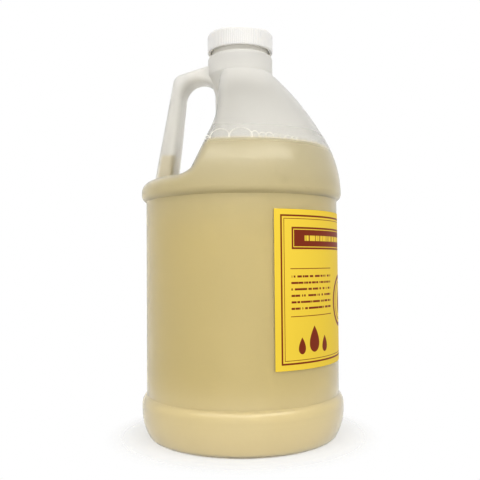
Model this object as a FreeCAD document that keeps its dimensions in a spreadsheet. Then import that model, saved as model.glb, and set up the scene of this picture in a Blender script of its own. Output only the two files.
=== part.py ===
"""Half-gallon jug with a moulded-in handle, a ribbed screw cap, a lined seal, a label and its filling.

Millimetres, +Z up. The origin is the middle of the base, on the surface that the jug stands on.
The handle points to -X and the label faces +X.
"""
import FreeCAD, Part
import math
import os
import Sketcher

# Driving sizes, in millimetres, degrees and counts
SIZES = {
    # Height of the lip. Every drop below is measured down from it
    "lip_height": 248.8,
    # Wall of the moulded jug and the thin space between the wall and its filling
    "wall": 1.2,
    "filling_gap": 0.15,
    # Base: raised middle, standing ring, heel and the large round up to the lower bumper
    "raised_base_height": 4.5,
    "raised_base_radius": 38.0,
    "raised_base_slope_run": 8.0,
    "heel_radius": 4.0,
    "base_side_radius": 31.2,
    "base_side_turn": 28.75,
    # Bumpers stand proud of the label panel by the panel's step
    "bumper_radius": 62.5,
    "panel_step": 2.8,
    "lower_crease_height": 26.3,
    "lower_bulge_radius": 8.0,
    "upper_crease_drop": 104.8,
    "upper_bulge_radius": 4.4,
    # Dome: a tight round above the upper bumper, then a long one up to the neck
    "dome_lower_radius": 66.5,
    "dome_lower_turn": 28.7,
    "dome_top_radius": 15.0,
    # Neck: a hidden root that widens upwards, the neck ring and the threaded finish above it
    "finish_height": 12.0,
    "neck_foot_drop": 24.1,
    "neck_root_drop": 42.8,
    "neck_root_radius": 11.5,
    "neck_radius": 20.55,
    "neck_ring_round": 2.2,
    "finish_radius": 17.5,
    # Recess behind the grip, turned about an upright axis in front of the jug's own. Its wall is steep above
    # the waist, bends outwards below it and ends in a cove on the shelf. The waist's inset is measured in
    # from the neck and the shelf's rise up from the upper crease
    "recess_axis": 100.0,
    "recess_waist_inset": 8.95,
    "recess_waist_drop": 45.8,
    "recess_upper_lean": 3.0,
    "recess_bend": 45.0,
    "recess_lean": 26.0,
    "recess_cove": 9.0,
    "shelf_rise": 12.6,
    "recess_edge_round": 7.0,
    # Handle: arm from the neck, rounded corner, leaning grip, arched finger hole. Its insets are measured in
    # from the bumpers
    "handle_width": 18.0,
    "handle_edge_round": 3.6,
    "handle_corner_inset": 25.9,
    "handle_corner_drop": 27.9,
    "handle_corner_radius": 6.4,
    "arm_slope": 14.0,
    "grip_lean": 11.3,
    "grip_inner_lean": 6.4,
    "hole_arch_inset": 36.3,
    "hole_arch_drop": 38.1,
    "hole_arch_radius": 11.2,
    "hole_web_drop": 63.3,
    "hole_web_width": 7.0,
    "handle_foot_depth": 9.5,
    # Screw cap and the liner disc that it presses on the lip
    "cap_radius": 20.8,
    "cap_bore_radius": 19.0,
    "cap_depth": 10.2,
    "cap_top_thickness": 1.6,
    "cap_top_round": 1.6,
    "rib_count": 108,
    "rib_depth": 0.35,
    "rib_width": 0.8,
    "rib_crest_width": 0.4,
    "rib_foot": 0.5,
    "liner_radius": 18.4,
    "liner_thickness": 1.0,
    # Label wrapped round the panel, opposite the handle, its foot measured up from the lower crease and its
    # head down from the upper one
    "label_width": 127.0,
    "label_head_drop": 8.4,
    "label_foot_rise": 20.4,
    "label_gap": 0.12,
    "label_thickness": 0.15,
    # Level of the filling
    "fill_drop": 73.8,
}

document = FreeCAD.newDocument("jug")
sheet = document.addObject("Spreadsheet::Sheet", "Sizes")
for row, (alias, number) in enumerate(SIZES.items(), start=1):
    sheet.set(f"A{row}", alias)
    sheet.set(f"B{row}", str(number))
    sheet.setAlias(f"B{row}", alias)
document.recompute()


def formula(text):
    """Put the sheet's name before every size that a formula names."""
    words = []
    word = ""
    for sign in text + " ":
        if sign.isalpha() or sign == "_" or (word and sign.isdigit()):
            word += sign
            continue
        words.append(f"Sizes.{word}" if word in SIZES else word)
        words.append(sign)
        word = ""
    return "".join(words).strip()


def value(text):
    """The number that a formula gives now."""
    return float(sheet.evalExpression(formula(text)))


def origin_plane(body, role):
    """One of a body's own three origin planes."""
    return next(plane for plane in body.Origin.OriginFeatures if plane.Role == role)


def new_sketch(body, role, name):
    """An empty sketch on one of a body's origin planes."""
    sketch = body.newObject("Sketcher::SketchObject", name)
    sketch.AttachmentSupport = [(origin_plane(body, role), "")]
    sketch.MapMode = "FlatFace"
    return sketch


def arc_between(start, end, radius, centre_on_left):
    """The short arc of a given radius from start to end."""
    half = (end - start) * 0.5
    rise = math.sqrt(max(radius ** 2 - half.Length ** 2, 0.0))
    left = FreeCAD.Vector(-half.y, half.x, 0).normalize()
    centre = start + half + left * (rise if centre_on_left else -rise)
    angles = [math.atan2(point.y - centre.y, point.x - centre.x) for point in (start, end)]
    if not centre_on_left:
        angles.reverse()
    circle = Part.Circle(centre, FreeCAD.Vector(0, 0, 1), radius)
    return Part.ArcOfCircle(circle, *angles)


def draw_outline(sketch, corners, arcs):
    """Draw a closed outline. Corners are pairs of formulas. Arcs give, for the corner that a round
    stretch starts from, its radius and the side of its centre."""
    points = [FreeCAD.Vector(value(x), value(y), 0) for x, y in corners]
    ends = []
    for index, start in enumerate(points):
        end = points[(index + 1) % len(points)]
        if index in arcs:
            radius, side = arcs[index]
            left = side == "left"
            edge = sketch.addGeometry(arc_between(start, end, value(radius), left), False)
            ends.append((edge, 1, 2) if left else (edge, 2, 1))
            number = sketch.addConstraint(Sketcher.Constraint("Radius", edge, value(radius)))
            sketch.setExpression(f"Constraints[{number}]", formula(radius))
        else:
            edge = sketch.addGeometry(Part.LineSegment(start, end), False)
            ends.append((edge, 1, 2))
    for index, (edge, first, last) in enumerate(ends):
        next_edge, next_first, _ = ends[(index + 1) % len(ends)]
        sketch.addConstraint(Sketcher.Constraint("Coincident", edge, last, next_edge, next_first))
        for kind, axis, text in zip(("DistanceX", "DistanceY"), (-2, -1), corners[index]):
            if text == "0":
                sketch.addConstraint(Sketcher.Constraint("PointOnObject", edge, first, axis))
                continue
            number = sketch.addConstraint(Sketcher.Constraint(kind, -1, 1, edge, first, value(text)))
            sketch.setExpression(f"Constraints[{number}]", formula(text))
    document.recompute()


def turned(body, sketch, name, kind, angle="360"):
    """Turn a sketch about its own upright axis, to add or to take away."""
    feature = body.newObject(f"PartDesign::{kind}", name)
    feature.Profile = sketch
    feature.ReferenceAxis = (sketch, ["V_Axis"])
    feature.setExpression("Angle", formula(angle))
    sketch.Visibility = False
    document.recompute()
    return feature


# Places that follow from the driving sizes
PANEL_R = "(bumper_radius - panel_step)"
UPPER_CREASE_Z = "(lip_height - upper_crease_drop)"
SHELF_Z = f"({UPPER_CREASE_Z} + shelf_rise)"
NECK_RING_Z = "(lip_height - finish_height)"
NECK_FOOT_Z = "(lip_height - neck_foot_drop)"
NECK_ROOT_Z = "(lip_height - neck_root_drop)"
HEEL_CENTRE_R = "(bumper_radius - base_side_radius + (base_side_radius - heel_radius) * cos(base_side_turn))"
BASE_SIDE_TOP = "(heel_radius + (base_side_radius - heel_radius) * sin(base_side_turn))"
LOWER_BULGE_Z = (
    "(lower_crease_height - sqrt(lower_bulge_radius ^ 2 - (lower_bulge_radius - panel_step) ^ 2))"
)
UPPER_BULGE_Z = (
    f"({UPPER_CREASE_Z} + sqrt(upper_bulge_radius ^ 2 - (upper_bulge_radius - panel_step) ^ 2))"
)
DOME_CENTRE_R = "(bumper_radius - dome_lower_radius)"
DOME_TURN_R = f"({DOME_CENTRE_R} + dome_lower_radius * cos(dome_lower_turn))"
DOME_TURN_Z = f"({UPPER_BULGE_Z} + dome_lower_radius * sin(dome_lower_turn))"
DOME_RUN = f"(neck_radius - {DOME_TURN_R})"
DOME_RISE = f"({NECK_FOOT_Z} - {DOME_TURN_Z})"
DOME_UPPER_RADIUS = (
    f"(({DOME_RUN} ^ 2 + {DOME_RISE} ^ 2)"
    f" / (-2 * (cos(dome_lower_turn) * {DOME_RUN} + sin(dome_lower_turn) * {DOME_RISE})))"
)
DOME_FAR_R = f"({DOME_TURN_R} - {DOME_UPPER_RADIUS} * cos(dome_lower_turn))"
DOME_FAR_Z = f"({DOME_TURN_Z} - {DOME_UPPER_RADIUS} * sin(dome_lower_turn))"
RECESS_WAIST_R = "(recess_axis + neck_radius - recess_waist_inset)"
RECESS_WAIST_Z = "(lip_height - recess_waist_drop)"
RECESS_FAR_R = "(recess_axis + 2 * bumper_radius)"
BEND_CENTRE_R = f"({RECESS_WAIST_R} + recess_bend * cos(recess_upper_lean))"
BEND_CENTRE_Z = f"({RECESS_WAIST_Z} + recess_bend * sin(recess_upper_lean))"
BEND_FOOT_R = f"({BEND_CENTRE_R} - recess_bend * cos(recess_lean))"
BEND_FOOT_Z = f"({BEND_CENTRE_Z} - recess_bend * sin(recess_lean))"
COVE_Z = f"({SHELF_Z} + recess_cove)"
COVE_R = (
    f"({BEND_FOOT_R} + recess_cove * cos(recess_lean) + tan(recess_lean)"
    f" * ({BEND_FOOT_Z} - {SHELF_Z} - recess_cove * (1 - sin(recess_lean))))"
)
CORNER_REACH = "(bumper_radius - handle_corner_inset)"
CORNER_Z = "(lip_height - handle_corner_drop)"
ARCH_REACH = "(bumper_radius - hole_arch_inset)"
ARCH_Z = "(lip_height - hole_arch_drop)"
WEB_FOOT_Z = "(lip_height - hole_web_drop)"
HANDLE_ROOT_X = f"(hole_web_width + hole_arch_radius - {ARCH_REACH})"
HANDLE_FOOT_Z = f"({SHELF_Z} - handle_foot_depth)"
LABEL_BACK_R = f"({PANEL_R} + label_gap)"
LABEL_FOOT_Z = "(lower_crease_height + label_foot_rise)"
LABEL_HEIGHT = f"({UPPER_CREASE_Z} - label_head_drop - {LABEL_FOOT_Z})"
LABEL_ANGLE = f"label_width / {LABEL_BACK_R} * 180 / pi"


def vessel_outline(inset):
    """Half section of the base, the panel and the dome, drawn in from the outside by inset."""
    lower = f"(lower_bulge_radius - {inset})"
    upper = f"(upper_bulge_radius - {inset})"
    heel = f"(heel_radius - {inset})"
    dome = f"(dome_lower_radius - {inset})"
    far = f"({DOME_UPPER_RADIUS} - {inset})"
    dome_top = f"{DOME_FAR_Z} + sqrt({far} ^ 2 - (dome_top_radius - {DOME_FAR_R}) ^ 2)"
    panel = f"{PANEL_R} - {inset}"
    bumper = f"bumper_radius - {inset}"
    corners = [
        ("0", f"raised_base_height + {inset}"),
        ("raised_base_radius", f"raised_base_height + {inset}"),
        ("raised_base_radius + raised_base_slope_run", f"0 + {inset}"),
        (HEEL_CENTRE_R, f"0 + {inset}"),
        (f"{HEEL_CENTRE_R} + {heel} * cos(base_side_turn)", f"heel_radius - {heel} * sin(base_side_turn)"),
        (bumper, BASE_SIDE_TOP),
        (bumper, LOWER_BULGE_Z),
        (panel, f"{LOWER_BULGE_Z} + sqrt({lower} ^ 2 - ({lower} - panel_step) ^ 2)"),
        (panel, f"{UPPER_BULGE_Z} - sqrt({upper} ^ 2 - ({upper} - panel_step) ^ 2)"),
        (bumper, UPPER_BULGE_Z),
        (
            f"{DOME_CENTRE_R} + {dome} * cos(dome_lower_turn)",
            f"{UPPER_BULGE_Z} + {dome} * sin(dome_lower_turn)",
        ),
        ("dome_top_radius", dome_top),
        ("0", dome_top),
    ]
    arcs = {
        3: (heel, "left"),
        4: (f"base_side_radius - {inset}", "left"),
        6: (lower, "left"),
        8: (upper, "left"),
        9: (dome, "left"),
        10: (far, "left"),
    }
    return corners, arcs


def neck_outline(inset):
    """Half section of the neck, from its root inside the dome up to the lip."""
    neck = f"neck_radius - {inset}"
    finish = f"finish_radius - {inset}"
    mouth = f"lip_height + {inset}"
    corners = [
        ("0", NECK_ROOT_Z),
        (f"neck_root_radius - {inset}", NECK_ROOT_Z),
        (neck, NECK_FOOT_Z),
        (neck, f"{NECK_RING_Z} - neck_ring_round"),
        ("neck_radius - neck_ring_round", f"{NECK_RING_Z} - {inset}"),
        (finish, f"{NECK_RING_Z} - {inset}"),
        (finish, mouth),
        ("0", mouth),
    ]
    return corners, {3: (f"neck_ring_round - {inset}", "left")}


def recess_outline(inset):
    """Half section of what the recess takes away, measured from the recess's own axis."""
    cove = f"(recess_cove + {inset})"
    bend = f"(recess_bend + {inset})"
    narrowing = f"({NECK_RING_Z} - {RECESS_WAIST_Z}) * tan(recess_upper_lean)"
    corners = [
        (f"{RECESS_WAIST_R} - {narrowing} - {inset} / cos(recess_upper_lean)", NECK_RING_Z),
        (
            f"{BEND_CENTRE_R} - {bend} * cos(recess_upper_lean)",
            f"{BEND_CENTRE_Z} - {bend} * sin(recess_upper_lean)",
        ),
        (f"{BEND_CENTRE_R} - {bend} * cos(recess_lean)", f"{BEND_CENTRE_Z} - {bend} * sin(recess_lean)"),
        (f"{COVE_R} - {cove} * cos(recess_lean)", f"{COVE_Z} - {cove} * sin(recess_lean)"),
        (COVE_R, f"{SHELF_Z} - {inset}"),
        (RECESS_FAR_R, f"{SHELF_Z} - {inset}"),
        (RECESS_FAR_R, NECK_RING_Z),
    ]
    return corners, {1: (bend, "left"), 3: (cove, "left")}


def handle_outline(inset):
    """Side outline of the handle, with both ends running on inside the jug."""
    corner = f"(handle_corner_radius - {inset})"
    arch = f"(hole_arch_radius + {inset})"
    arm_x = f"(0 - {CORNER_REACH} - {corner} * sin(arm_slope))"
    arm_z = f"({CORNER_Z} + {corner} * cos(arm_slope))"
    grip_x = f"(0 - {CORNER_REACH} - {corner} * cos(grip_lean))"
    grip_z = f"({CORNER_Z} + {corner} * sin(grip_lean))"
    inner_x = f"(0 - {ARCH_REACH} - {arch} * cos(grip_inner_lean))"
    inner_z = f"({ARCH_Z} + {arch} * sin(grip_inner_lean))"
    corners = [
        (HANDLE_ROOT_X, f"{arm_z} + ({HANDLE_ROOT_X} - {arm_x}) * tan(arm_slope)"),
        (arm_x, arm_z),
        (grip_x, grip_z),
        (f"{grip_x} - ({grip_z} - {HANDLE_FOOT_Z}) * tan(grip_lean)", HANDLE_FOOT_Z),
        (f"{inner_x} - ({inner_z} - {HANDLE_FOOT_Z}) * tan(grip_inner_lean)", HANDLE_FOOT_Z),
        (inner_x, inner_z),
        (f"0 - {ARCH_REACH}", f"{ARCH_Z} + {arch}"),
        (f"{arch} - {ARCH_REACH}", ARCH_Z),
        (f"{arch} - {ARCH_REACH}", WEB_FOOT_Z),
        (HANDLE_ROOT_X, WEB_FOOT_Z),
    ]
    return corners, {1: (corner, "left"), 5: (arch, "right"), 6: (arch, "right")}


def recess_edges(shape, inset):
    """Names of the edges where the recess breaks through the dome."""
    axis = value("recess_axis")
    shelf = value(f"{SHELF_Z} - {inset}")

    def in_recess(face):
        surface = face.Surface
        if isinstance(surface, Part.Plane):
            return abs(face.CenterOfMass.z - shelf) < 0.01
        general = isinstance(surface, Part.SurfaceOfRevolution)
        centre = surface.Location if general else surface.Center
        return abs(centre.x - axis) < 0.01

    names = []
    for number, edge in enumerate(shape.Edges, start=1):
        sides = [in_recess(face) for face in shape.ancestorsOfType(edge, Part.Face)]
        if sides.count(True) == 1:
            names.append(f"Edge{number}")
    return names


def make_vessel(name, inset):
    """The turned base, panel and dome, with the recess cut in and its rim rounded."""
    body = document.addObject("PartDesign::Body", f"{name}_vessel")
    section = new_sketch(body, "XZ_Plane", f"{name}_section")
    draw_outline(section, *vessel_outline(inset))
    whole = turned(body, section, f"{name}_turned", "Revolution").Shape.Volume
    cut = new_sketch(body, "XZ_Plane", f"{name}_recess_section")
    cut.setExpression("AttachmentOffset.Base.x", formula("recess_axis"))
    draw_outline(cut, *recess_outline(inset))
    recess = turned(body, cut, f"{name}_recess", "Groove")
    if recess.Shape.Volume > 0.99 * whole:
        raise RuntimeError(f"{name}: the recess takes nothing away")
    rim = body.newObject("PartDesign::Fillet", f"{name}_recess_rim")
    rim.Base = (recess, recess_edges(recess.Shape, inset))
    rim.setExpression("Radius", formula(f"recess_edge_round - {inset}"))
    document.recompute()
    return body


def make_neck(name, inset):
    """The turned neck."""
    body = document.addObject("PartDesign::Body", f"{name}_neck")
    section = new_sketch(body, "XZ_Plane", f"{name}_neck_section")
    draw_outline(section, *neck_outline(inset))
    turned(body, section, f"{name}_neck_turned", "Revolution")
    return body


def make_handle(name, inset):
    """The handle as a padded side outline with rounded edges."""
    body = document.addObject("PartDesign::Body", f"{name}_handle")
    side = new_sketch(body, "XZ_Plane", f"{name}_handle_side")
    draw_outline(side, *handle_outline(inset))
    pad = body.newObject("PartDesign::Pad", f"{name}_handle_pad")
    pad.Profile = side
    pad.Midplane = True
    pad.setExpression("Length", formula(f"handle_width - 2 * {inset}"))
    side.Visibility = False
    document.recompute()
    half = value(f"handle_width / 2 - {inset}")
    inner_end = value(HANDLE_ROOT_X)
    foot = value(HANDLE_FOOT_Z)
    web_foot = value(WEB_FOOT_Z)
    names = []
    for number, edge in enumerate(pad.Shape.Edges, start=1):
        box = edge.BoundBox
        on_face = abs(box.YMin - box.YMax) < 0.01 and abs(abs(box.YMin) - half) < 0.01
        flat_foot = box.ZMax < foot + 0.01
        flat_root = box.XMin > inner_end - 0.01
        flat_web = abs(box.ZMin - web_foot) < 0.01 and box.ZLength < 0.01
        if on_face and not (flat_foot or flat_root or flat_web):
            names.append(f"Edge{number}")
    rounding = body.newObject("PartDesign::Fillet", f"{name}_handle_round")
    rounding.Base = (pad, names)
    rounding.setExpression("Radius", formula(f"handle_edge_round - {inset}"))
    document.recompute()
    return body


def make_form(name, inset):
    """Vessel, neck and handle in one, drawn in from the outside by inset."""
    form = document.addObject("Part::MultiFuse", f"{name}_form")
    form.Shapes = [make_vessel(name, inset), make_neck(name, inset), make_handle(name, inset)]
    document.recompute()
    return form


def make_jug():
    """The hollow moulding: the outer form less the inner one, open at the lip."""
    jug = document.addObject("Part::Cut", "jug_body")
    jug.Base = make_form("outer", "0")
    jug.Tool = make_form("inner", "wall")
    return jug


def make_filling():
    """The filling: the inner space, drawn in a little more, up to the fill level."""
    level = document.addObject("Part::Cylinder", "fill_level")
    level.setExpression("Radius", formula("bumper_radius"))
    level.setExpression("Height", formula("lip_height - fill_drop"))
    filling = document.addObject("Part::Common", "liquid_fill")
    filling.Base = make_form("filling", "(wall + filling_gap)")
    filling.Tool = level
    return filling


def make_cap():
    """The screw cap: a turned hood with upright ribs round its skirt."""
    cap = document.addObject("PartDesign::Body", "screw_cap")
    core = "(cap_radius - rib_depth)"
    top = "cap_depth + cap_top_thickness"
    section = new_sketch(cap, "XZ_Plane", "cap_section")
    corners = [
        ("cap_bore_radius", "0"),
        (core, "0"),
        (core, f"{top} - cap_top_round"),
        (f"{core} - cap_top_round", top),
        ("0", top),
        ("0", "cap_depth"),
        ("cap_bore_radius", "cap_depth"),
    ]
    draw_outline(section, corners, {2: ("cap_top_round", "left")})
    turned(cap, section, "cap_hood", "Revolution")
    rib_section = new_sketch(cap, "XY_Plane", "rib_section")
    rib_section.setExpression("AttachmentOffset.Base.z", formula("rib_foot"))
    root = f"{core} - rib_depth"
    draw_outline(
        rib_section,
        [
            (root, "0 - rib_width / 2"),
            ("cap_radius", "0 - rib_crest_width / 2"),
            ("cap_radius", "rib_crest_width / 2"),
            (root, "rib_width / 2"),
        ],
        {},
    )
    rib = cap.newObject("PartDesign::Pad", "rib")
    rib.Profile = rib_section
    rib.setExpression("Length", formula(f"{top} - cap_top_round - rib_foot"))
    rib_section.Visibility = False
    document.recompute()
    ribs = cap.newObject("PartDesign::PolarPattern", "ribs")
    ribs.Originals = [rib]
    ribs.Axis = (rib_section, ["N_Axis"])
    ribs.Angle = 360
    ribs.setExpression("Occurrences", formula("rib_count"))
    cap.Tip = ribs
    cap.setExpression("Placement.Base.z", formula("lip_height + liner_thickness - cap_depth"))
    return cap


def make_liner():
    """The soft disc between the lip and the cap's inner face."""
    liner = document.addObject("Part::Cylinder", "cap_liner")
    liner.setExpression("Radius", formula("liner_radius"))
    liner.setExpression("Height", formula("liner_thickness"))
    liner.setExpression("Placement.Base.z", formula("lip_height"))
    return liner


def make_label():
    """The label, wrapped round the panel and centred on +X."""
    label = document.addObject("PartDesign::Body", "front_label")
    section = new_sketch(label, "XZ_Plane", "label_section")
    face = f"{LABEL_BACK_R} + label_thickness"
    draw_outline(
        section,
        [(LABEL_BACK_R, "0"), (face, "0"), (face, LABEL_HEIGHT), (LABEL_BACK_R, LABEL_HEIGHT)],
        {},
    )
    wrap = turned(label, section, "label_wrap", "Revolution", LABEL_ANGLE)
    wrap.Midplane = True
    label.setExpression("Placement.Base.z", formula(LABEL_FOOT_Z))
    return label


sub_parts = [make_jug(), make_filling(), make_cap(), make_liner(), make_label()]
for sub_part in sub_parts:
    sub_part.Label = sub_part.Name
document.recompute()

for item in document.Objects:
    if "Invalid" in item.State or "Error" in item.State:
        raise RuntimeError(f"{item.Name} failed: {item.State}")
for sub_part in sub_parts:
    if sub_part.Shape.isNull() or not sub_part.Shape.isValid():
        raise RuntimeError(f"{sub_part.Name} has no valid shape")

os.makedirs("parts", exist_ok=True)
for sub_part in sub_parts:
    sub_part.Shape.exportStep(f"parts/{sub_part.Label}.step")
    shape = sub_part.Shape
    print(f"{sub_part.Label}: {len(shape.Solids)} solid, {shape.Volume / 1000:.1f} ml")
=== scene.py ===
# %% [markdown]
# # A half-gallon jug with a screw cap
# The jug is one blow-moulded piece of milky plastic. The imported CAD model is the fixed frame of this
# scene: its solids are right in shape, so they stay, and Blender adds what CAD left out: the screw
# threads, the foam on the filling, the finishes, the light and the camera.

# %% Load the frame
import math

import bpy
from mathutils import Matrix, Vector


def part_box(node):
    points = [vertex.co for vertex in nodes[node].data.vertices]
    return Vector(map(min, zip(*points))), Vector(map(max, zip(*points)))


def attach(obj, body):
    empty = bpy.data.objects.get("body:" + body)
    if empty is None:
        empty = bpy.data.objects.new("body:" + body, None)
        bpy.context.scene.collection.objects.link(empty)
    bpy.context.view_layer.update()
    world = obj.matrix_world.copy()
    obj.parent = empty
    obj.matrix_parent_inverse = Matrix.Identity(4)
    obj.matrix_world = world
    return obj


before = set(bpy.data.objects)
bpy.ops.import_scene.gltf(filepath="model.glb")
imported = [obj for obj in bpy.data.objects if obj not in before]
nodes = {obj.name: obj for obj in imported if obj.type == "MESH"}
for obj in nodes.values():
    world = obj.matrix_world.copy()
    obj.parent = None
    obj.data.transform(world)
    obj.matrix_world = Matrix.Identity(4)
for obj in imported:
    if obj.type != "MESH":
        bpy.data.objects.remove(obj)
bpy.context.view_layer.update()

MM = 0.001

# %% [markdown]
# ## Working by hand
# Operators act on whatever is selected, and the frame's nodes start out selected. Four small helpers keep
# every step clean: they let go of everything, take up one piece, pick some of its points, and settle a
# finished piece with smooth shading and a body to ride on.

# %% Start and end a piece
SMOOTH_ANGLE = math.radians(40)


def let_go():
    """Leave edit mode and select nothing."""
    if bpy.context.object and bpy.context.object.mode != "OBJECT":
        bpy.ops.object.mode_set(mode="OBJECT")
    bpy.ops.object.select_all(action="DESELECT")


def take(piece):
    """Make one piece the only selected and active one."""
    let_go()
    piece.select_set(True)
    bpy.context.view_layer.objects.active = piece


def pick(piece, wanted):
    """In edit mode, select the points that a test accepts."""
    bpy.ops.mesh.select_mode(type="VERT")
    bpy.ops.mesh.select_all(action="DESELECT")
    bpy.ops.object.mode_set(mode="OBJECT")
    for point in piece.data.vertices:
        point.select = wanted(point.co)
    bpy.ops.object.mode_set(mode="EDIT")


def settle(piece, body):
    """Place in the mesh, smooth shading and a body to ride on."""
    take(piece)
    bpy.ops.object.transform_apply(location=True, rotation=True, scale=True)
    bpy.ops.object.shade_smooth_by_angle(angle=SMOOTH_ANGLE)
    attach(piece, body)
    print(f"{piece.name}: {len(piece.data.polygons)} faces, rides on {body}")


# %% [markdown]
# ## Screw threads
# The neck finish carries a single thread that climbs one sixth of an inch a turn, and the cap has the
# matching one inside. A thread is a small trapezium that turns and climbs at once, which is what the
# Screw modifier does with a profile. A plane gives the profile, its side at the crest is drawn in to make
# the trapezium, and each end of the finished thread is merged to a point, as moulded threads run out.

# %% Model a thread
PITCH = 25.4 / 6 * MM
STEPS_A_TURN = 72
CREST_SHARE = 0.5
TOUCH, RUN_OUT = 0.01 * MM, 1.2 * MM


def make_thread(name, root, crest, foot_z, width, turns, start_angle):
    """A thread from root radius to crest radius, whose middle starts at foot_z."""
    middle, sweep, climb = (root + crest) / 2, turns * 2 * math.pi, turns * PITCH
    let_go()
    bpy.ops.mesh.primitive_plane_add(size=1, rotation=(math.pi / 2, 0, 0))
    thread = bpy.context.object
    thread.name = thread.data.name = name
    thread.scale = (abs(crest - root), width, 1)
    thread.location = (middle, 0, foot_z)
    bpy.ops.object.transform_apply(location=True, rotation=True, scale=True)
    bpy.ops.object.mode_set(mode="EDIT")
    pick(thread, lambda co: abs(co.x - crest) < TOUCH)
    bpy.ops.transform.resize(value=(1, 1, CREST_SHARE))
    bpy.ops.mesh.select_all(action="SELECT")
    bpy.ops.mesh.delete(type="ONLY_FACE")
    bpy.ops.object.mode_set(mode="OBJECT")
    winding = thread.modifiers.new("winding", "SCREW")
    winding.axis = "Z"
    winding.angle = sweep
    winding.screw_offset = climb
    winding.steps = winding.render_steps = round(STEPS_A_TURN * turns)
    bpy.ops.object.modifier_apply(modifier="winding")
    for angle, height in ((0.0, foot_z), (sweep, foot_z + climb)):
        end = Vector((middle * math.cos(angle), middle * math.sin(angle), height))
        bpy.ops.object.mode_set(mode="EDIT")
        pick(thread, lambda co: (co - end).length < RUN_OUT)
        bpy.ops.mesh.merge(type="CENTER")
        bpy.ops.object.mode_set(mode="OBJECT")
    bpy.ops.object.mode_set(mode="EDIT")
    bpy.ops.mesh.select_all(action="SELECT")
    bpy.ops.mesh.remove_doubles(threshold=TOUCH)
    bpy.ops.mesh.normals_make_consistent(inside=False)
    bpy.ops.object.mode_set(mode="OBJECT")
    thread.rotation_euler.z = start_angle
    return thread


# %% [markdown]
# ## Neck and cap
# Each thread is sunk a little into the wall that carries it, so that no gap shows. The cap's thread
# starts a quarter of a turn further on and a quarter of a pitch lower, which puts it half a pitch below
# the neck's all the way round, and the two pass each other.

# %% Make the two threads
LIP_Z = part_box("jug_body")[1].z
FINISH_RADIUS, BORE_RADIUS = 17.5 * MM, 19.0 * MM
NECK_START, NECK_START_Z = math.radians(150), LIP_Z - 7.2 * MM
neck_thread = make_thread(
    "neck_thread", root=FINISH_RADIUS - 0.2 * MM, crest=FINISH_RADIUS + 1.2 * MM, foot_z=NECK_START_Z,
    width=1.9 * MM, turns=1.25, start_angle=NECK_START,
)
settle(neck_thread, "jug")
cap_thread = make_thread(
    "cap_thread", root=BORE_RADIUS + 0.1 * MM, crest=BORE_RADIUS - 1.2 * MM, foot_z=NECK_START_Z - PITCH / 4,
    width=1.5 * MM, turns=1.0, start_angle=NECK_START + math.pi / 2,
)
settle(cap_thread, "cap")

# %% [markdown]
# ## Foam at the fill line
# A shaken filling leaves a few bubbles that cling to the wall. What shows through the plastic is the rim
# of each bubble, an arch that stands on the filling. A torus is that rim: it is flattened a little,
# raised, and cut level with the filling by a bisect. One thin rim and one stout rim are modelled, and
# every bubble is a copy of one of them.

# %% Model two rims
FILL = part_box("liquid_fill")[1].z
line_points = [v.co for v in nodes["liquid_fill"].data.vertices if v.co.z > FILL - 0.05 * MM]
FOAM_RADIUS = max(point.xy.length for point in line_points) - 0.2 * MM
RIM_WIDTH, RIM_HEIGHT, RIM_LIFT = 10.0 * MM, 5.0 * MM, 1.0 * MM
print(f"fill line at {FILL / MM:.1f} mm, {FOAM_RADIUS / MM:.1f} mm from the axis")


def make_rim(name, thickness, segments, sides):
    """The rim of a bubble of RIM_WIDTH and RIM_HEIGHT, facing -Y, with its foot at the origin."""
    let_go()
    bpy.ops.mesh.primitive_torus_add(
        major_radius=RIM_WIDTH / 2, minor_radius=thickness, major_segments=segments, minor_segments=sides,
        rotation=(math.pi / 2, 0, 0),
    )
    rim = bpy.context.object
    rim.name = rim.data.name = name
    bpy.ops.object.transform_apply(location=True, rotation=True, scale=True)
    bpy.ops.object.mode_set(mode="EDIT")
    bpy.ops.mesh.select_all(action="SELECT")
    bpy.ops.transform.resize(value=(1, 1, (RIM_HEIGHT - RIM_LIFT) / (RIM_WIDTH / 2)))
    bpy.ops.transform.translate(value=(0, 0, RIM_LIFT))
    bpy.ops.mesh.bisect(plane_co=(0, 0, 0), plane_no=(0, 0, 1), clear_inner=True, use_fill=True)
    bpy.ops.object.mode_set(mode="OBJECT")
    print(f"{name}: {len(rim.data.polygons)} faces")
    return rim


thin_rim = make_rim("thin_rim", thickness=0.26 * MM, segments=32, sides=8)
stout_rim = make_rim("stout_rim", thickness=0.58 * MM, segments=14, sides=6)

# %% [markdown]
# ## Bubbles round the wall
# Two large bubbles stand in front with middling ones beside them, and a line of small ones runs round the
# wall, past the side of the label, to the recess behind the grip. Each copy is set against the leaning
# wall, then all are joined.

# %% Copy the rims
VIEW_ANGLE = math.radians(12)
WALL_LEAN = math.radians(24)


def stand_rim(model, turn, width, height):
    """A copy of a rim at a bearing in degrees from the front, its width and height in millimetres."""
    rim = model.copy()
    rim.data = model.data.copy()
    bpy.context.scene.collection.objects.link(rim)
    around = Matrix.Rotation(VIEW_ANGLE + math.radians(turn), 4, "Z")
    lean = Matrix.Rotation(-WALL_LEAN, 4, "X")
    wide, tall = width * MM / RIM_WIDTH, height * MM / RIM_HEIGHT
    size = Matrix.Diagonal((wide, wide, tall, 1))
    rim.matrix_world = around @ Matrix.Translation((0, -FOAM_RADIUS, FILL)) @ lean @ size
    return rim


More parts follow.
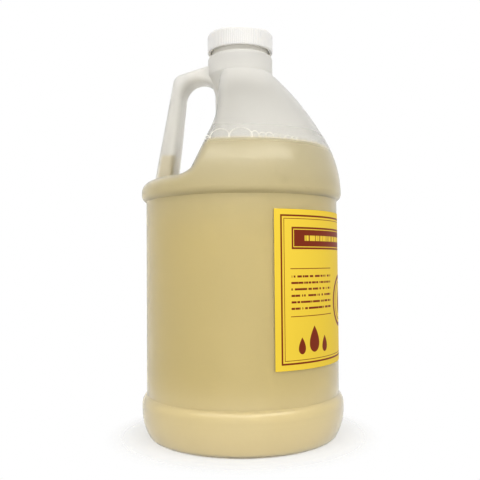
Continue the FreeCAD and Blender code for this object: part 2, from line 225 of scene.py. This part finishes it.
# Of each bubble: its bearing, width and height
LARGE = [(-12.4, 10.4, 6.2), (0.0, 12.6, 6.6)]
MIDDLING = [
    (-20.4, 4.0, 2.4), (8.2, 4.6, 4.4), (8.9, 3.0, 2.0), (12.8, 4.2, 3.6), (12.4, 2.4, 1.5),
    (16.9, 4.6, 3.8), (17.4, 2.6, 1.7), (21.2, 4.0, 3.0), (25.0, 3.8, 3.0), (29.2, 4.4, 2.7),
    (33.4, 3.6, 2.4), (37.4, 4.0, 2.2),
]
MIDDLING += [(42 + 7 * n + 2 * math.sin(2.3 * n), 3.6 + 1.2 * math.sin(1.7 * n), 2.0) for n in range(20)]
SMALL = [(-22 + 2.5 * n + math.sin(3.1 * n), 2.0 + 0.5 * math.sin(1.9 * n), 1.0) for n in range(80)]
rims = [stand_rim(thin_rim, *bubble) for bubble in LARGE]
rims += [stand_rim(stout_rim, *bubble) for bubble in MIDDLING + SMALL]
let_go()
for rim in rims:
    rim.select_set(True)
bpy.context.view_layer.objects.active = rims[0]
bpy.ops.object.join()
foam = bpy.context.object
foam.name = foam.data.name = "foam_rims"
settle(foam, "jug")
for model in (thin_rim, stout_rim):
    bpy.data.objects.remove(model)

# %% [markdown]
# ## Writing finishes as sums
# A finish is a small sum over the surface: where am I, how far from an edge, how much to mix. Wiring Math
# nodes by hand hides that, so the class below wraps a socket and such sums read as plain Python.

# %% Sums on sockets
class Term:
    """A number that changes over the surface."""

    def __init__(self, finish, socket):
        self.finish = finish
        self.socket = socket

    def math(self, operation, *others):
        """A Math node on this term and the others."""
        return self.finish.add("Math", {"operation": operation}, (self, *others))

    def __add__(self, other):
        return self.math("ADD", other)

    def __sub__(self, other):
        return self.math("SUBTRACT", other)

    def __mul__(self, other):
        return self.math("MULTIPLY", other)

    def __truediv__(self, other):
        return self.math("DIVIDE", other)

    def __rsub__(self, other):
        return self.finish.add("Math", {"operation": "SUBTRACT"}, (other, self))

    __radd__ = __add__
    __rmul__ = __mul__

    def __abs__(self):
        return self.math("ABSOLUTE")

    def step(self, low, high):
        """A smooth rise from 0 at low to 1 at high, or a fall if low is the greater."""
        sockets = {"Value": self, "From Min": low, "From Max": high}
        return self.finish.add("MapRange", {"interpolation_type": "SMOOTHSTEP"}, sockets)

    def hypot(self, other):
        """The distance of a point from the origin, from its two coordinates."""
        return (self * self + other * other).math("SQRT")


# %% [markdown]
# ## A finish and its nodes
# Every finish here is a material with one Principled shader and the nodes that feed it. One method adds
# any node with its settings and inputs, and the short ones after it add those that most finishes need.

# %% Nodes of a finish
class Finish:
    """A material, its Principled shader and the nodes that feed it."""

    def __init__(self, name):
        self.material = bpy.data.materials.new(name)
        self.material.use_nodes = True
        self.nodes = self.material.node_tree.nodes
        self.shader = self.nodes["Principled BSDF"]
        self.output = self.nodes["Material Output"]

    def add(self, kind, settings=None, inputs=(), output=0):
        """Any node: its type, its settings, its inputs by number or name, and the output that is used."""
        node = self.nodes.new(f"ShaderNode{kind}")
        for name, value in (settings or {}).items():
            setattr(node, name, value)
        pairs = inputs.items() if isinstance(inputs, dict) else enumerate(inputs)
        for key, value in pairs:
            self.put(node.inputs[key], value)
        return Term(self, node.outputs[output])

    def put(self, socket, value):
        """Link a term to a socket, or set a plain value on it."""
        if isinstance(value, Term):
            self.material.node_tree.links.new(value.socket, socket)
        elif isinstance(value, tuple) and len(value) == 3 and len(socket.default_value) == 4:
            socket.default_value = (*value, 1)
        else:
            socket.default_value = value

    def place(self):
        """The point in the row frame."""
        return self.add("TexCoord", output="Object")

    def axes(self):
        """The point's x, y and z, each as a term."""
        split = self.nodes.new("ShaderNodeSeparateXYZ")
        self.put(split.inputs[0], self.place())
        return [Term(self, out) for out in split.outputs]

    def noise(self, scale, detail=2.0):
        """Cloudy noise, finer with a larger scale."""
        return self.add("TexNoise", inputs={"Vector": self.place(), "Scale": scale, "Detail": detail})

    def mix(self, amount, first, second):
        """A colour between two colours, by the Mix node's colour sockets 6 and 7 and colour output 2."""
        return self.add("Mix", {"data_type": "RGBA"}, {0: amount, 6: first, 7: second}, output=2)

    def bump(self, height, distance, strength=1.0):
        """Small relief of a given height in metres."""
        relief = self.add("Bump", inputs={"Strength": strength, "Distance": distance, "Height": height})
        self.put(self.shader.inputs["Normal"], relief)

    def blend(self, amount, other):
        """Mix the shader with another one by an amount that changes over the surface."""
        mixed = self.add("MixShader", inputs={0: amount, 1: Term(self, self.shader.outputs[0]), 2: other})
        self.put(self.output.inputs["Surface"], mixed)

    def set(self, **values):
        """Values of the shader's sockets, with underscores for spaces."""
        for name, value in values.items():
            self.put(self.shader.inputs[name.replace("_", " ")], value)

    def wear(self, *pieces):
        """Make this the only finish of some pieces."""
        for piece in pieces:
            piece.data.materials.clear()
            piece.data.materials.append(self.material)
        print(f"{self.material.name}: {len(self.nodes)} nodes on {', '.join(p.name for p in pieces)}")


# %% [markdown]
# ## Where the wall differs
# One moulding looks different from place to place. Above the fill line it is dry and milky. In the hollow
# foot of the grip the filling is thin. A band above the fill line is wet and clearer. The neck is thick,
# so it scatters more light. The slot under the cap and the arm are given painted light, a faint glow that
# lifts their shade.
# Each place is a number from 0 to 1.

# %% Zones of the wall
CAP_LOW, CAP_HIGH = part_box("screw_cap")


def foot_of_grip(x, z):
    """1 in the hollow foot of the grip."""
    return x.step(-35.0 * MM, -40.0 * MM) * z.step(FILL - 24.0 * MM, FILL - 14.0 * MM)


plastic = Finish("milky_plastic")
x, y, z = plastic.axes()
dry = z.step(FILL - 1.0 * MM, FILL + 1.5 * MM)
grip = x.step(-30.0 * MM, -37.0 * MM)
foot = foot_of_grip(x, z)
clearer = z.step(FILL - 3.0 * MM, FILL) * z.step(FILL + 22.0 * MM, FILL + 5.0 * MM) * (1 - grip)
thick = z.step(LIP_Z - 43.8 * MM, LIP_Z - 16.8 * MM)
# Painted light: a faint glow in the slot under the cap and in the arm lifts their shade.
slot_foot = z.step(CAP_LOW.z - 4.0 * MM, CAP_LOW.z - 3.0 * MM)
painted_slot_light = slot_foot * z.step(CAP_LOW.z + 2.4 * MM, CAP_LOW.z - 0.6 * MM)
across_arm = x.step(-19.0 * MM, -25.0 * MM) * x.step(-35.0 * MM, -29.0 * MM)
arm = across_arm * z.step(LIP_Z - 45.8 * MM, LIP_Z - 34.8 * MM)
base_round = z.step(38.0 * MM, 28.0 * MM)
dome_round = z.step(148.0 * MM, 158.0 * MM)
parting = abs(y).step(0.5 * MM, 0.1 * MM)
print(f"{len(plastic.nodes)} nodes mark the zones of the wall")

# %% [markdown]
# ## Milky plastic
# Unpigmented polyethylene lets light through but blurs it. A rough transmitting shader on the real wall,
# inside and outside, does the same: the filling shows as a soft colour and the far side is lost in white.
# Where the filling touches the wall, the wall takes on its straw colour. A share of plain matt white
# stands for the milkiness of the thick parts. The surface has the faint orange-peel of a blown part, a
# sheen that is strongest on the rounds, and a parting line where the two halves of the mould met.

# %% Jug finish
cloud = plastic.noise(28.0, 3.0)
peel = plastic.noise(700.0)
straw_tone = plastic.mix(cloud, (0.83, 0.75, 0.54), (0.85, 0.77, 0.56))
wet_tone = plastic.mix(foot, straw_tone, (0.93, 0.90, 0.82))
dry_tone = plastic.mix(cloud, (0.86, 0.845, 0.80), (0.90, 0.885, 0.845))
sheen = 0.34 + 0.08 * cloud + 0.40 * base_round + 0.15 * dome_round
plastic.set(
    Base_Color=plastic.mix(dry, wet_tone, dry_tone),
    Roughness=0.28 + 0.08 * cloud + 0.10 * dry + 0.10 * grip - 0.17 * clearer,
    IOR=1.18,
    Transmission_Weight=0.97,
    Coat_Weight=sheen * (1 - 0.9 * clearer),
    Coat_Roughness=0.22,
    Coat_IOR=1.40,
    # Painted light: the slot under the cap glows faintly, and the arm at half strength, lifting their shade.
    Emission_Color=plastic.mix(painted_slot_light + 0.5 * arm, (0.0, 0.0, 0.0), (0.115, 0.107, 0.09)),
    Emission_Strength=1.0,
)
plastic.bump(peel * 0.35 + parting, 0.12 * MM, 0.6)
milk = plastic.add("BsdfDiffuse", inputs={"Color": (0.94, 0.925, 0.885)})
plastic.blend(0.01 + dry * (0.03 + 0.37 * thick + 0.15 * grip), milk)
plastic.wear(nodes["jug_body"], neck_thread)

# %% [markdown]
# ## Filling
# The filling is cloudy enough to hide the far wall, so an opaque soft colour is enough. Light that has
# wandered through it comes out all over, most of it near the base: painted light stands in for that, a
# faint glow all over and a paler colour towards the base. The colour is set a good deal paler than it looks
# in the jug, because it is seen through the straw-coloured wall.

# %% Filling finish
straw = Finish("straw_filling")
x, _, z = straw.axes()
# Painted light: towards the base the filling is paler and glows more strongly.
rise = z.step(0.0, 48.0 * MM)
haze = straw.noise(14.0)
deep = straw.mix(haze, (0.645, 0.605, 0.425), (0.71, 0.67, 0.475))
upper = straw.mix(z.step(FILL - 60.0 * MM, FILL - 3.0 * MM), deep, (0.545, 0.575, 0.66))
foot = foot_of_grip(x, z)
body_tone = straw.mix(rise, (0.85, 0.83, 0.77), upper)
straw.set(
    Base_Color=straw.mix(foot, body_tone, (0.57, 0.535, 0.46)),
    Roughness=0.45 + 0.1 * haze,
    Specular_IOR_Level=0.2,
    # Painted light: a faint glow all over, stronger towards the base.
    Emission_Color=straw.mix(rise, (0.174, 0.153, 0.112), (0.081, 0.071, 0.033)),
    Emission_Strength=1.0,
)
straw.bump(haze, 0.3 * MM, 0.2)
straw.wear(nodes["liquid_fill"])

# %% [markdown]
# ## Foam
# The foam rims are the same liquid drawn thin, so they are nearly white. They glow a little with painted
# light, which stands in for the light that falls on foam from all sides and is scattered by it.

# %% Foam finish
froth = Finish("white_froth")
fine = froth.noise(1500.0)
froth_tone_and_glow = froth.mix(fine, (0.91, 0.89, 0.82), (0.95, 0.94, 0.89))
froth.set(
    Base_Color=froth_tone_and_glow,
    Roughness=0.25 + 0.2 * fine,
    # Painted light: the rims glow faintly in their own colour.
    Emission_Color=froth_tone_and_glow,
    Emission_Strength=0.05,
)
froth.bump(fine, 0.05 * MM, 0.5)
froth.wear(foam)

# %% [markdown]
# ## Cap
# The cap is moulded from a warm white plastic with a satin skin that lets a little light in. Its ribs are
# in the CAD model, so the finish only adds the fine grain, the gate mark in the middle of the top and a
# shallow ring round it.

# %% Cap finish
satin = Finish("satin_white")
x, y, z = satin.axes()
grain = satin.noise(1800.0)
reach = x.hypot(y)
on_top = z.step(CAP_HIGH.z - 0.5 * MM, CAP_HIGH.z - 0.2 * MM)
ring = abs(reach - 15.5 * MM).step(0.7 * MM, 0.2 * MM) * on_top
gate = reach.step(1.4 * MM, 0.9 * MM) * on_top
satin.set(
    Base_Color=satin.mix(satin.noise(60.0), (0.80, 0.78, 0.745), (0.83, 0.815, 0.785)),
    Roughness=0.42 + 0.12 * grain,
    Subsurface_Weight=0.7,
    Subsurface_Radius=(1.0, 0.95, 0.85),
    Subsurface_Scale=2.0 * MM,
)
satin.bump(grain * 0.12 + gate - ring, 0.15 * MM, 0.7)
satin.wear(nodes["screw_cap"], cap_thread)

# %% [markdown]
# ## Liner
# The liner is a disc of pressed foam that seals the lip. It lies in the cap, out of sight, and is matt
# and slightly grainy.

# %% Liner finish
pressed = Finish("pressed_foam")
cells = pressed.noise(900.0, 3.0)
pressed.set(
    Base_Color=pressed.mix(cells, (0.80, 0.79, 0.76), (0.90, 0.89, 0.87)),
    Roughness=0.7 + 0.2 * cells,
)
pressed.bump(cells, 0.1 * MM, 0.6)
pressed.wear(nodes["cap_liner"])

# %% [markdown]
# ## The label laid flat
# The label is a yellow film with brown-red print. Its pattern is drawn flat: the angle round the jug
# times the radius is the distance along the film, and the height is the distance up, both in millimetres.
# A shape is a distance that is negative inside it, and its mask is 1 there. Masks are put together by
# taking the larger.

# %% Shapes on the film
film = Finish("yellow_film")
x, y, z = film.axes()
LABEL_LOW, LABEL_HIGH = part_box("front_label")
along = y.math("ARCTAN2", x) * (LABEL_HIGH.x / MM)
up = (z - LABEL_LOW.z) / MM
EDGE, HAIRLINE = 0.12, 0.2
DROP_FULLNESS = 2.6


def inside(distance):
    """1 where a distance in millimetres is negative, with a soft printed edge."""
    return distance.step(EDGE, -EDGE)


def either(first, *others):
    """The largest of some masks or distances."""
    for other in others:
        first = first.math("MAXIMUM", other)
    return first


def bar(centre_v, half_u, half_v):
    """Distance to a rectangle in the middle of the label's width."""
    return either(abs(along) - half_u, abs(up - centre_v) - half_v)


def drop(centre_u, foot_v, half_width, height):
    """A drop on each half of the label, drawn in by a hairline so that nothing shows below its foot."""
    climb = (up - foot_v) / height
    half = climb.math("MAXIMUM", 0.0).math("SQRT") * (1 - climb) * (DROP_FULLNESS * half_width)
    return inside(abs(abs(along) - centre_u) - half + HAIRLINE)


print(f"film from {LABEL_LOW.z / MM:.1f} to {LABEL_HIGH.z / MM:.1f} mm up")

# %% [markdown]
# ## Frame and drops
# The print is plain: a double frame, a drop in two rings in the middle and three drops on each half.

# %% Draw the frame and the drops
LABEL_MIDDLE = (LABEL_HIGH.z - LABEL_LOW.z) / 2 / MM
EMBLEM_V = 36.0
TRIO_U, TRIO_STEP = 37.0, 9.5
sheet = bar(LABEL_MIDDLE, half_u=59.5, half_v=40.8)
frame_lines = either(inside(abs(sheet) - 0.5), inside(abs(sheet + 1.7) - 0.18))
from_emblem = along.hypot(up - EMBLEM_V)
rings = either(inside(abs(from_emblem - 14.5) - 1.1), inside(abs(from_emblem - 11.2) - 0.35))
core = drop(0.0, foot_v=28.0, half_width=4.6, height=17.0)
tall = drop(TRIO_U, foot_v=9.0, half_width=4.2, height=15.0)
low = [drop(TRIO_U + way * TRIO_STEP, foot_v=8.4, half_width=2.7, height=9.6) for way in (-1, 1)]
ornament = either(frame_lines, rings, core, tall, *low)
print(f"{len(film.nodes)} nodes so far")

# %% [markdown]
# ## Rows of dashes
# Rows of short dashes fill a column on each half, between two rules, and a row of them fills a dark band
# at the top. A noise that changes from row to row breaks each row up, so that no two are alike.

# %% Draw the rows and the band
ROW_STEP = 3.55
BAND_V, COLUMN_V = 20.5 * ROW_STEP, 12 * ROW_STEP
COLUMN_U, COLUMN_HALF = 36.5, 17.0
RULE_RISE, RULE_HALF = 13.2, 0.22
DASH_SCALE, ROW_SHIFT = 0.75, 7.3
row = up / ROW_STEP
row_number = row.math("FLOOR")
in_row = abs(row - row_number - 0.5).step(0.19, 0.14)
spot = film.add("CombineXYZ", inputs=(along * DASH_SCALE, row_number * ROW_SHIFT, 0.0))
speckle = film.add("TexNoise", {"noise_dimensions": "2D"}, {"Vector": spot, "Scale": 1.0, "Detail": 1.0})
dashes = speckle.step(0.41, 0.44)
from_column = abs(abs(along) - COLUMN_U) - COLUMN_HALF
columns = inside(from_column) * inside(abs(up - COLUMN_V) - 3 * ROW_STEP) * in_row * dashes
rules = inside(from_column - 0.5) * inside(abs(abs(up - COLUMN_V) - RULE_RISE) - RULE_HALF)
band = bar(BAND_V, half_u=53.0, half_v=6.2)
band_row = inside(abs(up - BAND_V) - 1.5) * inside(abs(along) - 44.0) * dashes
block = inside(band) * (1 - either(inside(abs(band + 1.3) - 0.25), band_row))
print_mask = either(ornament, columns, rules, block)
print(f"{len(film.nodes)} nodes so far")

# %% [markdown]
# ## Film and ink
# The film is a slightly uneven yellow with a soft gloss, and the ink lies on it a hair higher and
# smoother.

# %% Label finish
tint = film.noise(22.0)
yellow = film.mix(tint, (0.86, 0.60, 0.045), (0.92, 0.655, 0.060))
film.set(
    Base_Color=film.mix(print_mask, yellow, (0.205, 0.026, 0.007)),
    Roughness=0.46 + 0.08 * tint - 0.06 * print_mask,
    Specular_IOR_Level=0.08,
)
film.bump(film.noise(420.0) * 0.4 + print_mask * 0.2, 0.05 * MM, 0.5)
film.wear(nodes["front_label"])

# %% [markdown]
# ## Camera
# The camera stands at the photograph's place: twelve degrees round from the side, a little below the
# middle of the jug, about 0.4 m off, and rolled by half a degree as the jug leans in the frame.

# %% Place the camera
DISTANCE, EYE_HEIGHT = 407.3 * MM, 105.9 * MM
PITCH_UP, ROLL, YAW = math.radians(2.046), math.radians(-0.474), math.radians(0.150)
SENSOR_WIDTH, FOCAL_PIXELS, PICTURE_PIXELS = 36.0, 642.4, 480
lens_data = bpy.data.cameras.new("camera")
lens_data.sensor_width = SENSOR_WIDTH
lens_data.lens = FOCAL_PIXELS / PICTURE_PIXELS * SENSOR_WIDTH
lens_data.clip_start = 10 * MM
camera = bpy.data.objects.new("camera", lens_data)
bpy.context.scene.collection.objects.link(camera)
stand = Matrix.Rotation(VIEW_ANGLE, 4, "Z") @ Matrix.Translation((0, -DISTANCE, EYE_HEIGHT))
tilt = Matrix.Rotation(math.pi / 2 + PITCH_UP, 4, "X")
aim = Matrix.Rotation(YAW, 4, "Z") @ tilt @ Matrix.Rotation(ROLL, 4, "Z")
camera.matrix_world = stand @ aim
bpy.context.scene.camera = camera
print("camera at", [round(v, 4) for v in camera.matrix_world.translation])

# %% [markdown]
# ## White room
# The photograph has a plain white ground. The world is white to the camera, in reflections and through
# the plastic, and a little weaker as light on matt surfaces, so that these keep their shading.

# %% Make the world
MATT_LEVEL = 0.56
world = bpy.data.worlds.new("white_room")
bpy.context.scene.world = world
world.use_nodes = True
tree = world.node_tree
tree.nodes.clear()


def larger(first, second):
    """The larger of two outputs of the world's nodes."""
    node = tree.nodes.new("ShaderNodeMath")
    node.operation = "MAXIMUM"
    tree.links.new(first, node.inputs[0])
    tree.links.new(second, node.inputs[1])
    return node.outputs[0]


ray = tree.nodes.new("ShaderNodeLightPath").outputs
level = tree.nodes.new("ShaderNodeMapRange")
level.inputs["To Min"].default_value = MATT_LEVEL
level.inputs["To Max"].default_value = 1.0
clear = larger(larger(ray["Is Camera Ray"], ray["Is Glossy Ray"]), ray["Is Transmission Ray"])
tree.links.new(clear, level.inputs[0])
backdrop = tree.nodes.new("ShaderNodeBackground")
backdrop.inputs["Color"].default_value = (1, 1, 1, 1)
tree.links.new(level.outputs[0], backdrop.inputs["Strength"])
tree.links.new(backdrop.outputs[0], tree.nodes.new("ShaderNodeOutputWorld").inputs[0])
print("world:", world.name)

# %% [markdown]
# ## Soft boxes
# Two wide soft boxes above the camera, to its right and left, light the jug and make the highlights on
# its dome and on the shoulder of its base. A large weak one in front fills in.

# %% Set up the soft boxes
BOX_DISTANCE, JUG_MIDDLE = 900 * MM, 130 * MM


def soft_box(name, azimuth, elevation, width, height, watts):
    """An area light that faces the middle of the jug, its bearing in degrees and its size in metres."""
    data = bpy.data.lights.new(name, "AREA")
    data.shape = "RECTANGLE"
    data.size, data.size_y, data.energy = width, height, watts
    box = bpy.data.objects.new(name, data)
    bpy.context.scene.collection.objects.link(box)
    bearing = Matrix.Rotation(math.radians(azimuth), 4, "Z")
    slope = Matrix.Rotation(math.radians(90 - elevation), 4, "X")
    middle, back = Matrix.Translation((0, 0, JUG_MIDDLE)), Matrix.Translation((0, 0, BOX_DISTANCE))
    box.matrix_world = middle @ (bearing @ slope) @ back


soft_box("right_box", azimuth=46, elevation=40, width=0.80, height=0.20, watts=3.2)
soft_box("left_box", azimuth=-15, elevation=40, width=0.80, height=0.20, watts=2.7)
soft_box("front_box", azimuth=12, elevation=2, width=0.90, height=0.90, watts=1.1)

# %% [markdown]
# ## Floor
# The floor is a pale, half see-through matt disc that takes the jug's soft shadow. Away from the jug it
# fades into the white of the room, so no horizon shows.

# %% Make the floor
FLOOR_RADIUS, FLOOR_Z = 1200 * MM, -0.05 * MM
FADE_START, FADE_END = 63 * MM, 88 * MM
let_go()
bpy.ops.mesh.primitive_circle_add(
    vertices=64, radius=FLOOR_RADIUS, fill_type="NGON", location=(0, 0, FLOOR_Z),
)
floor = bpy.context.object
floor.name = floor.data.name = "floor"
bpy.ops.object.transform_apply(location=True)
pale = Finish("pale_floor")
x, y, _ = pale.axes()
away = x.hypot(y).step(FADE_START, FADE_END)
pale.set(Base_Color=pale.mix(pale.noise(40.0), (0.90, 0.90, 0.89), (0.92, 0.92, 0.91)), Roughness=0.8)
pale.blend(0.5 + 0.5 * away, pale.add("BsdfTransparent"))
pale.wear(floor)

# %% [markdown]
# ## The end
# The view transform is set to Standard and nothing is left selected.

# %% Finish
bpy.context.scene.view_settings.view_transform = "Standard"
let_go()
